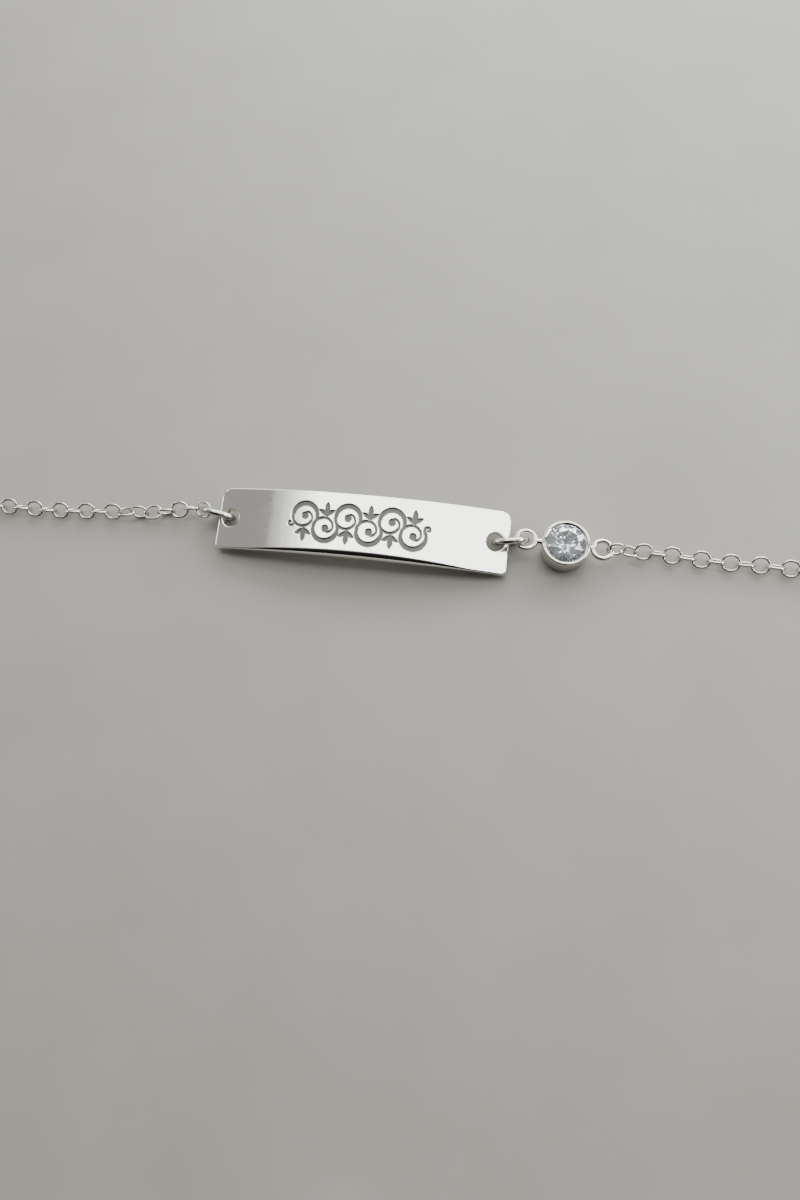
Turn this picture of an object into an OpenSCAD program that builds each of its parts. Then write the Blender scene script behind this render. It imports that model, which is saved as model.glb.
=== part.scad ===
// Identity bracelet in silver: a curved name plate, a small stone in a cup setting, and a fine
// cable chain that closes in a spring ring clasp. It lies as a closed loop on a flat surface.
// All sizes are in millimetres, +Z is up and the surface is z = 0.

/* [Name plate] */
// Length of the plate
plate_l = 22.2; // [18:0.1:30]
// Width of the plate
plate_w = 4.8; // [4:0.1:8]
// How far the middle of the top stands above its ends
plate_rise = 1.3; // [0.8:0.05:2]
// Thickness in the middle
plate_mid_t = 1.2; // [0.8:0.05:1.4]
// Thickness at the two ends
plate_end_t = 0.6; // [0.4:0.05:0.7]
// Corner radius on the far side
far_corner_r = 0.75; // [0.3:0.05:1.2]
// Corner radius on the near side
near_corner_r = 0.4; // [0.2:0.05:1.2]
// Diameter of the two ring holes
hole_d = 1.4; // [1.3:0.05:1.6]
// Metal left between a hole and the end of the plate
hole_web = 0.28; // [0.2:0.01:0.35]
// Lift of the far edge over the near edge, in degrees
plate_tilt = 11; // [8:0.5:12]
// Fall from the left end to the right end, in degrees
plate_fall = 0.3; // [0:0.1:0.6]

/* [Engraving] */
// Number of bows in the running scroll
bow_count = 6; // [3:1:8]
// Distance from one bow to the next
bow_step = 1.65; // [1.2:0.05:2]
// Sideways offset of the bows from the middle line
bow_offset = 0.45; // [0.2:0.05:0.6]
// Width of the cut line
cut_w = 0.2; // [0.1:0.02:0.3]
// Depth of the cut
cut_depth = 0.08; // [0.04:0.01:0.15]
// Diameter of the berry inside each bow
berry_d = 0.55; // [0.3:0.05:0.8]

/* [Jump rings] */
// Outer diameter of the two rings that carry the plate
ring_d = 2.86; // [2.8:0.02:3]
// Wire of these rings
ring_wire = 0.5; // [0.44:0.02:0.52]
// How steeply the left ring stands, in degrees
left_ring_lean = 69; // [60:1:75]
// Turn of the left ring about the vertical, in degrees
left_ring_turn = -11; // [-15:1:0]
// How steeply the right ring stands, in degrees
right_ring_lean = 65; // [60:1:75]
// Turn of the right ring about the vertical, in degrees
right_ring_turn = 12; // [6:1:14]

/* [Cup setting] */
// Diameter of the stone
stone_d = 3; // [2.8:0.1:3.2]
// Wall of the cup beside the stone
cup_wall = 0.22; // [0.2:0.01:0.25]
// Height of the cup
cup_h = 1.75; // [1.6:0.05:2]
// How much narrower the foot of the cup is than its rim
cup_taper = 0.25; // [0.1:0.05:0.9]
// Outer diameter of the two soldered loops
loop_d = 1.74; // [1.66:0.02:1.86]
// Wire of these loops
loop_wire = 0.34; // [0.3:0.01:0.36]
// Length of the neck between the cup's rim and the loop towards the plate
left_neck = 0.26; // [0.2:0.01:0.3]
// Length of the neck between the cup's rim and the loop towards the chain
right_neck = 0.04; // [0.02:0.01:0.1]
// How far the loops lie below the rim
loop_drop = 0.45; // [0.3:0.05:0.6]
// Lean of the cup towards the chain, in degrees
cup_lean = 5; // [3:1:8]
// Lean of the cup towards the near side, in degrees
cup_nod = 3; // [0:1:5]

/* [Chain] */
// Width of a link
link_w = 1.3; // [1.2:0.05:1.4]
// Wire of a link
link_wire = 0.22; // [0.2:0.01:0.24]
// Distance from link to link in the left strand, which is drawn nearly taut
left_pitch = 1.09; // [1.06:0.01:1.1]
// Distance from link to link in the right strand, which lies a little slack
right_pitch = 1.02; // [1:0.01:1.06]
// Play between two taut links, and between a link and a ring
link_gap = 0.13; // [0.12:0.01:0.15]
// How far the strands have rolled over towards the near side, in degrees
chain_roll = 10; // [0:1:15]

/* [Clasp] */
// Outer diameter of the spring ring
clasp_d = 5; // [4.5:0.1:6]
// Tube of the spring ring
clasp_tube = 1; // [0.9:0.05:1.2]
// Outer diameter of the eye on the spring ring
eye_d = 2; // [1.9:0.05:2.2]
// Wire of the eye
eye_wire = 0.4; // [0.36:0.02:0.44]
// Outer diameter of the small ring in the eye
eye_ring_d = 2.4; // [2.3:0.05:2.6]
// Wire of the small ring in the eye
eye_ring_wire = 0.4; // [0.36:0.02:0.44]

/* [Hidden] */
$fn = 48;

// Clearances
seat_gap = 0.06;    // between what a ring carries and the ring's wire below it
stone_gap = 0.03;   // all round the stone in its seat
lie_gap = 0.025;    // under a link, which lies a little askew
over = 0.5;         // how far a cutting tool runs past the surface

// Name plate, drawn with the ends of its top at z = 0
function arc_r(chord, rise) = (chord * chord / 4 + rise * rise) / (2 * rise);
top_r = arc_r(plate_l, plate_rise);
under_rise = plate_rise - plate_mid_t + plate_end_t;
under_r = arc_r(plate_l, under_rise);
hole_x = plate_l / 2 - hole_web - hole_d / 2;
plate_z = ring_wire + seat_gap + plate_end_t + plate_l / 2 * sin(plate_fall);
bow_r = norm([bow_step, 2 * bow_offset]) / 2;
bow_reach = 180 + 2 * atan2(2 * bow_offset, bow_step);

// Rings that carry the plate
ring_r = (ring_d - ring_wire) / 2;
ring_out = 0.08;    // centre of a ring beyond the end of the plate
function ring_rest_z(r, wire, lean) = r * sin(lean) + wire / 2;
left_ring_at = [-plate_l / 2 - ring_out, 0.25, ring_rest_z(ring_r, ring_wire, left_ring_lean)];
right_ring_at = [plate_l / 2 + ring_out, 0.15, ring_rest_z(ring_r, ring_wire, right_ring_lean)];

// A point of a ring's wire: angle 0 is its right end, and -90 its foot
function ring_point(at, r, lean, turn, angle) = at + [
    r * (cos(angle) * cos(turn) - sin(angle) * cos(lean) * -sin(turn)),
    r * (cos(angle) * sin(turn) - sin(angle) * cos(lean) * cos(turn)),
    r * sin(angle) * sin(lean)];

// Stone, as shares of its diameter
table_share = 0.56;
crown_share = 0.15;
girdle_share = 0.03;
pavilion_share = 0.42;
culet_share = 0.04;
main_share = 0.8;       // depth of the lower break of the pavilion, as a share of the whole
main_r_share = 0.21;    // and its radius, as a share of the girdle's
star_share = 0.62;      // height of the star points, as a share of the crown

// Cup setting, drawn with its foot at z = 0
cup_r = stone_d / 2 + stone_gap + cup_wall;
foot_r = cup_r - cup_taper / 2;
foot_hole_r = foot_r - 2 * cup_wall;
lip = 0.08;         // how far the rim closes over the stone
rim_h = 0.1;        // height of the rim above the edge of the stone
girdle_z = cup_h - rim_h - stone_gap;
seat_z = girdle_z - girdle_share * stone_d - stone_gap;
seat_r = stone_d / 2 + stone_gap;
cone_r = (seat_r + foot_hole_r) / 2;
pavilion_slope = pavilion_share * main_share / ((1 - main_r_share) / 2);
loop_r = (loop_d - loop_wire) / 2;
neck_more = 0.14;   // how much thicker than the wire of a loop its neck is
loop_z = cup_h - loop_drop;
left_reach = cup_r + left_neck + loop_d / 2;
right_reach = cup_r + right_neck + loop_d / 2;
cup_turn = -0.3;
cup_tip = acos(cos(cup_lean) * cos(cup_nod));
cup_z = foot_r * sin(cup_tip);
left_loop_height = cup_z + loop_z * cos(cup_tip) + left_reach * sin(cup_lean);
ring_bite = asin((left_loop_height - right_ring_at[2]) / (ring_r * sin(right_ring_lean)));
loop_hold = ring_point(right_ring_at, ring_r, right_ring_lean, right_ring_turn, ring_bite);
cup_x = loop_hold[0] + left_reach * cos(cup_lean) - loop_z * sin(cup_lean);
cup_y = loop_hold[1] + (left_reach * sin(cup_turn) + loop_z * sin(cup_nod)) * cos(cup_turn);
function turned_x(p, a) = [p[0], p[1] * cos(a) - p[2] * sin(a), p[1] * sin(a) + p[2] * cos(a)];
function turned_y(p, a) = [p[0] * cos(a) + p[2] * sin(a), p[1], p[2] * cos(a) - p[0] * sin(a)];
function turned_z(p, a) = [p[0] * cos(a) - p[1] * sin(a), p[0] * sin(a) + p[1] * cos(a), p[2]];
function cup_point(p) = [cup_x, cup_y, cup_z]
    + turned_z(turned_y(turned_x(p, cup_nod), cup_lean), cup_turn);

// Clasp, in line with the chain on the near side of the loop
clasp_at = [6, -45.3];
clasp_turn = 9.3;
eye_sink = 0.1;     // how far the eye is sunk into the tube
eye_play = 0.35;    // centre of the small ring beyond the middle of the eye's wire
end_ring_out = 0.08;    // centre of the end ring beyond the middle of the tube
nub_at = 70;        // where the thumb nub stands on the tube, in degrees
clasp_r = (clasp_d - clasp_tube) / 2;
clasp_z = ring_wire + 2 * seat_gap + clasp_tube / 2;
eye_r = (eye_d - eye_wire) / 2;
eye_reach = clasp_r + clasp_tube / 2 + eye_r - eye_sink;
eye_ring_r = (eye_ring_d - eye_ring_wire) / 2;
clasp_ring_lean = 60;
end_ring_lean = 60;
clasp_ring_x = -eye_reach - eye_r - eye_play;
end_ring_x = clasp_r + end_ring_out;
function by_clasp(x, z) =
    [clasp_at[0] + x * cos(clasp_turn), clasp_at[1] + x * sin(clasp_turn), z];
clasp_ring_at = by_clasp(clasp_ring_x, ring_rest_z(eye_ring_r, eye_ring_wire, clasp_ring_lean));
end_ring_at = by_clasp(end_ring_x, ring_rest_z(ring_r, ring_wire, end_ring_lean));

// Links: the length follows from the taut pitch, the wire and the play
link_l = left_pitch + 2 * link_wire + link_gap;
link_end = (link_l - link_wire) / 2;
function hook(wire) = link_end - (wire + link_wire) / 2 - link_gap;
function link_height(roll) = (link_w - link_wire) / 2 * abs(sin(roll)) + link_wire / 2;
lie = link_height(45 + chain_roll) + lie_gap;

// The way of the chain: a few chosen points at the height at which its links lie. A third number
// is how far a point stands above that.
left_way = [[-15.9, 0.33], [-18.2, 0.12], [-21.5, -0.12], [-25, -0.32], [-28.5, -0.36],
    [-31.4, -0.5], [-33.7, -1.9], [-34.5, -4.6], [-33.2, -10], [-29.4, -20.5], [-25.5, -31],
    [-21.6, -41.3], [-19.6, -45.6], [-16.4, -48.2], [-12, -48.3], [-7, -47.4], [-3, -46.7]];
right_way = [[20.7, 0.55, 0.08], [21.8, 0.55, 0.04], [24, 0.42], [27, 0.33], [30, 0.33],
    [32.7, 0.02], [34.8, -1.4], [35.7, -4.5], [35.9, -12], [35.8, -22], [35.6, -31], [34.9, -36.2],
    [32.8, -39.3], [29, -41.3], [24, -42.3], [18, -43.3], [13, -44]];

function laid(way) = [for (p = way) [p[0], p[1], lie + (len(p) > 2 ? p[2] : 0)]];

// Beside the clasp the last link points straight away from the middle of the ring that it hooks,
// and hangs so far down that the next link nearly lies on the surface
next_lift = 0.03;
function hang(at, r, pitch, lean) = asin((at[2] - lie - next_lift) / ((r + pitch) * sin(lean)));
function last_pair(at, r, pitch, lean, end) = [for (d = [pitch, 0])
    ring_point(at, r + d, lean, clasp_turn, end + (end > 0 ? 1 : -1) * hang(at, r, pitch, lean))];
left_stop = last_pair(clasp_ring_at, eye_ring_r + hook(eye_ring_wire), left_pitch, clasp_ring_lean, 180);
right_stop = last_pair(end_ring_at, ring_r + hook(ring_wire), right_pitch, end_ring_lean, 0);

// Beside the plate the first link hangs in the left ring, and beside the cup it stands upright in
// the loop. Each pair has the side that the first link and the second one turn to, and their fall.
function away(length, side, fall) = length * [cos(fall) * cos(side), cos(fall) * sin(side), -sin(fall)];
left_hang = 10;
left_fall = 16;
left_first = ring_point(left_ring_at, ring_r + hook(ring_wire), left_ring_lean, left_ring_turn,
    180 + left_hang);
left_start = [left_first, left_first + away(left_pitch, 180 + left_ring_turn, left_fall)];
right_side = [12, 5];
right_fall = [18, 20];
loop_edge = cup_point([right_reach + loop_r * cos(right_side[0] - cup_turn),
    loop_r * sin(right_side[0] - cup_turn), loop_z]);
right_first = loop_edge + away(hook(loop_wire), right_side[0], right_fall[0]);
right_start = [right_first, right_first + away(right_pitch, right_side[1], right_fall[1])];

// A smooth curve through the points, walked at an even pitch
steps = 12;
function curve(a, b, c, d, t) = 0.5 * (2 * b + (c - a) * t + (2 * a - 5 * b + 4 * c - d) * t * t
    + (3 * b - a - 3 * c + d) * t * t * t);
function smooth(p) =
    let (n = len(p), q = concat([2 * p[0] - p[1]], p, [2 * p[n - 1] - p[n - 2]]))
    concat([for (i = [0:n - 2]) for (k = [0:steps - 1])
        curve(q[i], q[i + 1], q[i + 2], q[i + 3], k / steps)], [p[n - 1]]);
function walked(p, i = 1, sum = [0]) = i == len(p) ? sum
    : walked(p, i + 1, concat(sum, [sum[i - 1] + norm(p[i] - p[i - 1])]));
left_path = smooth(concat(left_start, laid(left_way), left_stop));
right_path = smooth(concat(right_start, laid(right_way), right_stop));
left_walk = walked(left_path);
right_walk = walked(right_path);
function at_length(path, walk, s) =
    [for (k = [0:2]) lookup(s, [for (i = [0:len(path) - 1]) [walk[i], path[i][k]]])];
function link_places(path, walk, pitch) =
    let (n = round(walk[len(walk) - 1] / pitch), step = walk[len(walk) - 1] / n)
    [for (i = [0:n]) at_length(path, walk, i * step)];
left_places = link_places(left_path, left_walk, left_pitch);
right_places = link_places(right_path, right_walk, right_pitch);

// The roll of each link: a quarter turn from link to link, and a slow quarter twist where the strand
// shows one. A second one comes half way where the last link would else lie along its ring.
twist_links = 6;
left_twist_at = 1.5;
right_twist_at = -3.2;
function twist(i, start) = 90 * min(1, max(0, (i - start) / twist_links));
function twist_lift(i, start) =
    let (u = min(1, abs(i - start - twist_links / 2) / twist_links))
    (link_height(90) - lie) * (1 + cos(180 * u)) / 2;
left_spare = (len(left_places) - 1) % 2;
right_spare = len(right_places) % 2;
left_half = floor(len(left_places) / 2);
right_half = floor(len(right_places) / 2);
left_rolls = [for (i = [0:len(left_places) - 1])
    135 + chain_roll + 90 * i + twist(i, left_twist_at) + left_spare * twist(i, left_half)];
right_rolls = [for (i = [0:len(right_places) - 1])
    135 - chain_roll + 90 * i - twist(i, right_twist_at) + right_spare * twist(i, right_half)];
left_lifts = [for (i = [0:len(left_places) - 1])
    twist_lift(i, left_twist_at) + left_spare * twist_lift(i, left_half)];
right_lifts = [for (i = [0:len(right_places) - 1]) right_spare * twist_lift(i, right_half)];

// The origin is under the middle of the whole
side = link_w / 2;
low_x = min([for (p = left_places) p[0]]) - side;
high_x = max([for (p = right_places) p[0]]) + side;
low_y = min([for (p = left_places) p[1]]) - side;
high_y = plate_w / 2 * cos(plate_tilt);
middle = [-(low_x + high_x) / 2, -(low_y + high_y) / 2, 0];

module placed() {
    translate(middle) children();
}

module on_crown(x, y) {
    translate([0, 0, plate_rise - top_r])
        rotate([0, asin(x / top_r), 0])
            translate([0, y, top_r]) children();
}

module corner_cut(x, y, r) {
    difference() {
        translate([x - r, y - r]) square(2 * r);
        translate([x - sign(x) * r, y - sign(y) * r]) circle(r = r);
    }
}

module plate_outline() {
    difference() {
        square([plate_l, plate_w], center = true);
        for (x = [-plate_l / 2, plate_l / 2]) {
            corner_cut(x, plate_w / 2, far_corner_r);
            corner_cut(x, -plate_w / 2, near_corner_r);
        }
    }
}

module bent_bar() {
    difference() {
        intersection() {
            translate([0, 0, -plate_end_t - over])
                linear_extrude(height = plate_rise + plate_end_t + 2 * over) plate_outline();
            translate([0, 0, plate_rise - top_r])
                rotate([90, 0, 0]) cylinder(r = top_r, h = plate_w + over, center = true, $fn = 250);
        }
        translate([0, 0, under_rise - plate_end_t - under_r])
            rotate([90, 0, 0]) cylinder(r = under_r, h = plate_w + 2 * over, center = true, $fn = 250);
    }
}

module bow(up) {
    rotate([0, 0, up > 0 ? 90 - bow_reach / 2 : -90 - bow_reach / 2])
        rotate_extrude(angle = bow_reach)
            translate([bow_r - cut_w / 2, -cut_depth]) square([cut_w, cut_depth + over]);
}

module running_scroll() {
    for (i = [0:bow_count - 1]) {
        up = i % 2 == 0 ? 1 : -1;
        on_crown((i - (bow_count - 1) / 2) * bow_step, up * bow_offset) {
            bow(up);
            translate([0, 0, -cut_depth]) cylinder(d = berry_d, h = cut_depth + over);
        }
    }
}

module name_plate() {
    color("Silver") placed()
        translate([0, 0, plate_z])
            rotate([plate_tilt, plate_fall, 0])
                difference() {
                    bent_bar();
                    for (x = [-hole_x, hole_x])
                        on_crown(x, 0) cylinder(d = hole_d, h = 4 * plate_mid_t, center = true);
                    running_scroll();
                }
}

module wire_ring(r, wire) {
    rotate_extrude() translate([r, 0]) circle(d = wire);
}

module standing_ring(at, r, wire, lean, turn) {
    color("Gainsboro") placed()
        translate(at) rotate([0, 0, turn]) rotate([-lean, 0, 0]) wire_ring(r, wire);
}

module ring_left() {
    standing_ring(left_ring_at, ring_r, ring_wire, left_ring_lean, left_ring_turn);
}

module ring_right() {
    standing_ring(right_ring_at, ring_r, ring_wire, right_ring_lean, right_ring_turn);
}

module in_cup_frame() {
    placed() translate([cup_x, cup_y, cup_z])
        rotate([0, 0, cup_turn]) rotate([0, cup_lean, 0]) rotate([cup_nod, 0, 0]) children();
}

module cup_body() {
    rotate_extrude()
        polygon([[foot_hole_r, 0], [foot_r, 0], [cup_r, cup_h - loop_drop / 2], [cup_r, cup_h - lip],
            [cup_r - lip, cup_h], [stone_d / 2 - lip, cup_h], [seat_r, girdle_z + stone_gap],
            [seat_r, seat_z], [cone_r, seat_z - pavilion_slope * (seat_r - cone_r)]]);
}

module soldered_loop(reach) {
    translate([reach, 0, loop_z]) wire_ring(loop_r, loop_wire);
    translate([cup_r - cup_wall / 2, 0, loop_z]) rotate([0, 90, 0])
        cylinder(d = loop_wire + neck_more, h = reach - loop_r - cup_r + cup_wall / 2);
}

module cup() {
    color("Silver") in_cup_frame() {
        cup_body();
        soldered_loop(right_reach);
        rotate([0, 0, 180]) soldered_loop(left_reach);
    }
}

function ring_of(count, r, z, start) =
    [for (i = [0:count - 1]) [r * cos(start + 360 * i / count), r * sin(start + 360 * i / count), z]];

module stone() {
    girdle_r = stone_d / 2;
    table_r = table_share * stone_d / 2;
    star_r = (girdle_r + table_r) / 2;
    crown_z = girdle_share * stone_d / 2 + crown_share * stone_d;
    star_z = girdle_share * stone_d / 2 + crown_share * stone_d * star_share;
    main_z = -girdle_share * stone_d / 2 - pavilion_share * stone_d * main_share;
    points = concat(
        ring_of(8, table_r, crown_z, 0),
        ring_of(8, star_r, star_z, 22.5),
        ring_of(16, girdle_r, girdle_share * stone_d / 2, 0),
        ring_of(16, girdle_r, -girdle_share * stone_d / 2, 0),
        ring_of(8, girdle_r * main_r_share, main_z, 22.5),
        ring_of(8, culet_share * girdle_r, -girdle_share * girdle_r - pavilion_share * stone_d, 0));
    color("AliceBlue") in_cup_frame()
        translate([0, 0, girdle_z - girdle_share * stone_d / 2])
            hull() polyhedron(points, [[for (i = [0:len(points) - 1]) i]]);
}

module chain_link() {
    r = (link_w - link_wire) / 2;
    half = (link_l - link_w) / 2;
    for (a = [0, 180]) rotate([0, 0, a]) {
        translate([half, 0, 0]) rotate([0, 0, -90])
            rotate_extrude(angle = 180) translate([r, 0]) circle(d = link_wire);
        translate([-half, r, 0]) rotate([0, 90, 0]) cylinder(d = link_wire, h = 2 * half);
    }
}

module strand(places, rolls, lifts) {
    last = len(places) - 1;
    for (i = [0:last]) {
        go = places[min(last, i + 1)] - places[max(0, i - 1)];
        translate(places[i] + [0, 0, lifts[i]])
            rotate([0, -asin(go[2] / norm(go)), atan2(go[1], go[0])])
                rotate([rolls[i], 0, 0]) chain_link();
    }
}

module chain_left() {
    color("LightGray") placed() strand(left_places, left_rolls, left_lifts);
}

module chain_right() {
    color("LightGray") placed() strand(right_places, right_rolls, right_lifts);
}

module clasp() {
    color("Silver") placed() translate(by_clasp(0, clasp_z)) rotate([0, 0, clasp_turn]) {
        wire_ring(clasp_r, clasp_tube);
        translate([-eye_reach, 0, 0]) wire_ring(eye_r, eye_wire);
        rotate([0, 0, nub_at]) translate([clasp_r, 0, 0])
            rotate([0, 90, 0]) cylinder(d = clasp_tube / 2, h = clasp_tube);
    }
}

module clasp_ring() {
    standing_ring(clasp_ring_at, eye_ring_r, eye_ring_wire, clasp_ring_lean, clasp_turn);
}

module end_ring() {
    standing_ring(end_ring_at, ring_r, ring_wire, end_ring_lean, clasp_turn);
}

name_plate();
ring_left();
ring_right();
cup();
stone();
chain_left();
chain_right();
clasp();
clasp_ring();
end_ring();
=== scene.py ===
"""Looks of a silver identity bracelet that lies in a closed loop on a pale surface.

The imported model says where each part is. Each part is built again here, in the same place, with the
detail that its solid leaves out: the rounded rims of the plate and its engraved vine, the full cut of
the stone, the solder at the loops and the drawn wire of the chain. Lengths are in millimetres up to
the point where a mesh, a lamp or the camera takes them.
"""
import math

import bpy
import numpy as np
from mathutils import Euler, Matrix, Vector
from mathutils.geometry import delaunay_2d_cdt


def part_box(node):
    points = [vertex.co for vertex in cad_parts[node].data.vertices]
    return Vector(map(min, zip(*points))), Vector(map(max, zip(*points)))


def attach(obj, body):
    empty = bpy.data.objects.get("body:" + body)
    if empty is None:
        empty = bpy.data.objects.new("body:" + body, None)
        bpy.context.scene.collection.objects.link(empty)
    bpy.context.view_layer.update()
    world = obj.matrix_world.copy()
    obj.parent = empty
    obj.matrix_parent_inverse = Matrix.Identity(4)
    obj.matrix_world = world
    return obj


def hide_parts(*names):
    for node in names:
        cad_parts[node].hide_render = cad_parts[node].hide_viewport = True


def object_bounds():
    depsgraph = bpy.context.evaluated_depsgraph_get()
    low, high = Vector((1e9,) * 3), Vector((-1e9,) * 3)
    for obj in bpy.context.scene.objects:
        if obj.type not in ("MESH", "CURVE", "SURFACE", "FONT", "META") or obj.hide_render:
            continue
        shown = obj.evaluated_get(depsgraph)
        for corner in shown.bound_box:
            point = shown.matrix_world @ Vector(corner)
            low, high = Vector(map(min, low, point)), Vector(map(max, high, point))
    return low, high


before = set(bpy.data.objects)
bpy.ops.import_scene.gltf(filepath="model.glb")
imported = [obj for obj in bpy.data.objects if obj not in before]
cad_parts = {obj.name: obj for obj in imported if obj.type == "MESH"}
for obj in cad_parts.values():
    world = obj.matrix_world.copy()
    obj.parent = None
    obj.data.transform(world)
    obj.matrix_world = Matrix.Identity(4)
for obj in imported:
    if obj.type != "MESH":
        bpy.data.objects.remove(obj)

MM = 0.001
cad_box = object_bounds()


# Colours and nodes

def linear(hex_colour):
    """An sRGB hex colour as the linear RGBA that a socket takes."""
    channels = [int(hex_colour[i:i + 2], 16) / 255 for i in (1, 3, 5)]
    return [c / 12.92 if c <= 0.04045 else ((c + 0.055) / 1.055) ** 2.4 for c in channels] + [1.0]


def add(tree, kind, inputs=None, **settings):
    """Adds a node. Its settings come first, then each input gets a value or another node's output."""
    made = tree.nodes.new(kind)
    for name, value in settings.items():
        setattr(made, name, value)
    for name, value in (inputs or {}).items():
        if isinstance(value, bpy.types.NodeSocket):
            tree.links.new(value, made.inputs[name])
        else:
            made.inputs[name].default_value = value
    return made


def new_material(name):
    material = bpy.data.materials.new(name)
    material.use_nodes = True
    material.node_tree.nodes.clear()
    return material, material.node_tree


# Inputs and output of a Mix node that is set to colour
FACTOR, COLOUR_A, COLOUR_B, MIXED = 0, 6, 7, 2

# Most of a noise texture lies between these values
NOISE_LOW, NOISE_HIGH = 0.3, 0.7


# Camera, lamps, room and surface

# The camera was fitted to the photograph, which is 800 x 1200 px
PHOTO_H = 1200
FOCAL_PX = 926
SENSOR = 36.0
CAMERA_AT = (12.926, -6.277, 62.728)
CAMERA_TURN = (22.47, 5.72, 8.47)
CLIP = (1, 5000)

# A window-like panel stands over the plate on the far side. Its left edge, which fades over a few
# strips as at a curtain, is what the plate mirrors. A strip further back lights the far part of the
# surface. Two side lamps and three small ones are there for the stone.
PANEL_X = (-42.0, 72.0)
PANEL_Y = (19.0, 54.0)
PANEL_Z = 100.0
PANEL_RADIANCE = 4.3
CURTAIN_STEP = 6.5
CURTAIN = (0.7, 0.42, 0.22, 0.1)      # share of the panel's radiance in each strip to its left
# Place, size, radiance and aim of the other lamps
LAMPS = {
    "back_strip": ((45, 150, 70), (240, 60), 9.5, (20, 60, 0)),
    "right_side": ((150, 30, 65), (60, 60), 10.0, (10, 20, 0)),
    "left_side": ((-150, 40, 45), (45, 45), 7.0, (0, 20, 0)),
    "spark_right": ((125, 55, 85), (10, 10), 60.0, (0, 20, 0)),
    "spark_left": ((-120, 75, 70), (8, 8), 60.0, (0, 20, 0)),
    "spark_far": ((15, 120, 150), (8, 8), 60.0, (0, 20, 0)),
}
LAMP_COLOUR, ROOM_COLOUR = "#FDFFF8", "#FFFEFA"

# The rest of the room is dim. Its light goes by the x, y and z of the unit way to each part of it.
# The rounded near edge of the plate mirrors a dark stretch of the near side, and the room is dark low
# down all round, which draws the dark edges of the wire.
ROOM_LEFT, ROOM_RIGHT = 0.37, 0.33
SIDES_X = (-0.9, 0.5)   # where the left side's light passes into the right side's
DARK_SHARE = 0.03       # share of the room's light in the dark stretch
DARK_Y = (-0.5, -0.12)  # where the stretch ends towards the far side
DARK_MIDDLE, DARK_HALF, DARK_BLUR = -0.14, 0.5, 0.12    # its middle and half its length in x
LOW_SHARE = 0.2         # share of the room's light low down
LOW_Z = (0.05, 0.45)
FAR_MORE = 6.5          # how much brighter the far side is
FAR_Y = (0.3, 0.5)

SURFACE_HALF = 800


def make_camera():
    data = bpy.data.cameras.new("camera")
    data.sensor_width = SENSOR
    data.lens = FOCAL_PX / PHOTO_H * SENSOR
    data.clip_start, data.clip_end = [distance * MM for distance in CLIP]
    camera = bpy.data.objects.new("camera", data)
    camera.location = Vector(CAMERA_AT) * MM
    camera.rotation_euler = Euler([math.radians(a) for a in CAMERA_TURN], "XYZ")
    bpy.context.scene.collection.objects.link(camera)
    bpy.context.scene.camera = camera


def make_lamp(name, place, size, radiance, aim=None):
    """A rectangular lamp of an even radiance, which faces down or towards a point."""
    data = bpy.data.lights.new(name, "AREA")
    data.shape = "RECTANGLE"
    data.size, data.size_y = size[0] * MM, size[1] * MM
    # a radiance of one takes pi watts for each square metre of the lamp
    data.energy = radiance * math.pi * data.size * data.size_y
    data.color = linear(LAMP_COLOUR)[:3]
    lamp = bpy.data.objects.new(name, data)
    lamp.location = Vector(place) * MM
    if aim is not None:
        lamp.rotation_euler = (Vector(place) - Vector(aim)).to_track_quat("Z", "Y").to_euler()
    lamp.visible_camera = False
    bpy.context.scene.collection.objects.link(lamp)


def make_lamps():
    depth = PANEL_Y[1] - PANEL_Y[0]
    across = sum(PANEL_Y) / 2
    make_lamp("far_panel", (sum(PANEL_X) / 2, across, PANEL_Z), (PANEL_X[1] - PANEL_X[0], depth),
              PANEL_RADIANCE)
    for k, share in enumerate(CURTAIN):
        x = PANEL_X[0] - (k + 0.5) * CURTAIN_STEP
        make_lamp("curtain_%d" % k, (x, across, PANEL_Z), (CURTAIN_STEP, depth), PANEL_RADIANCE * share)
    for name, (place, size, radiance, aim) in LAMPS.items():
        make_lamp(name, place, size, radiance, aim)


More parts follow.
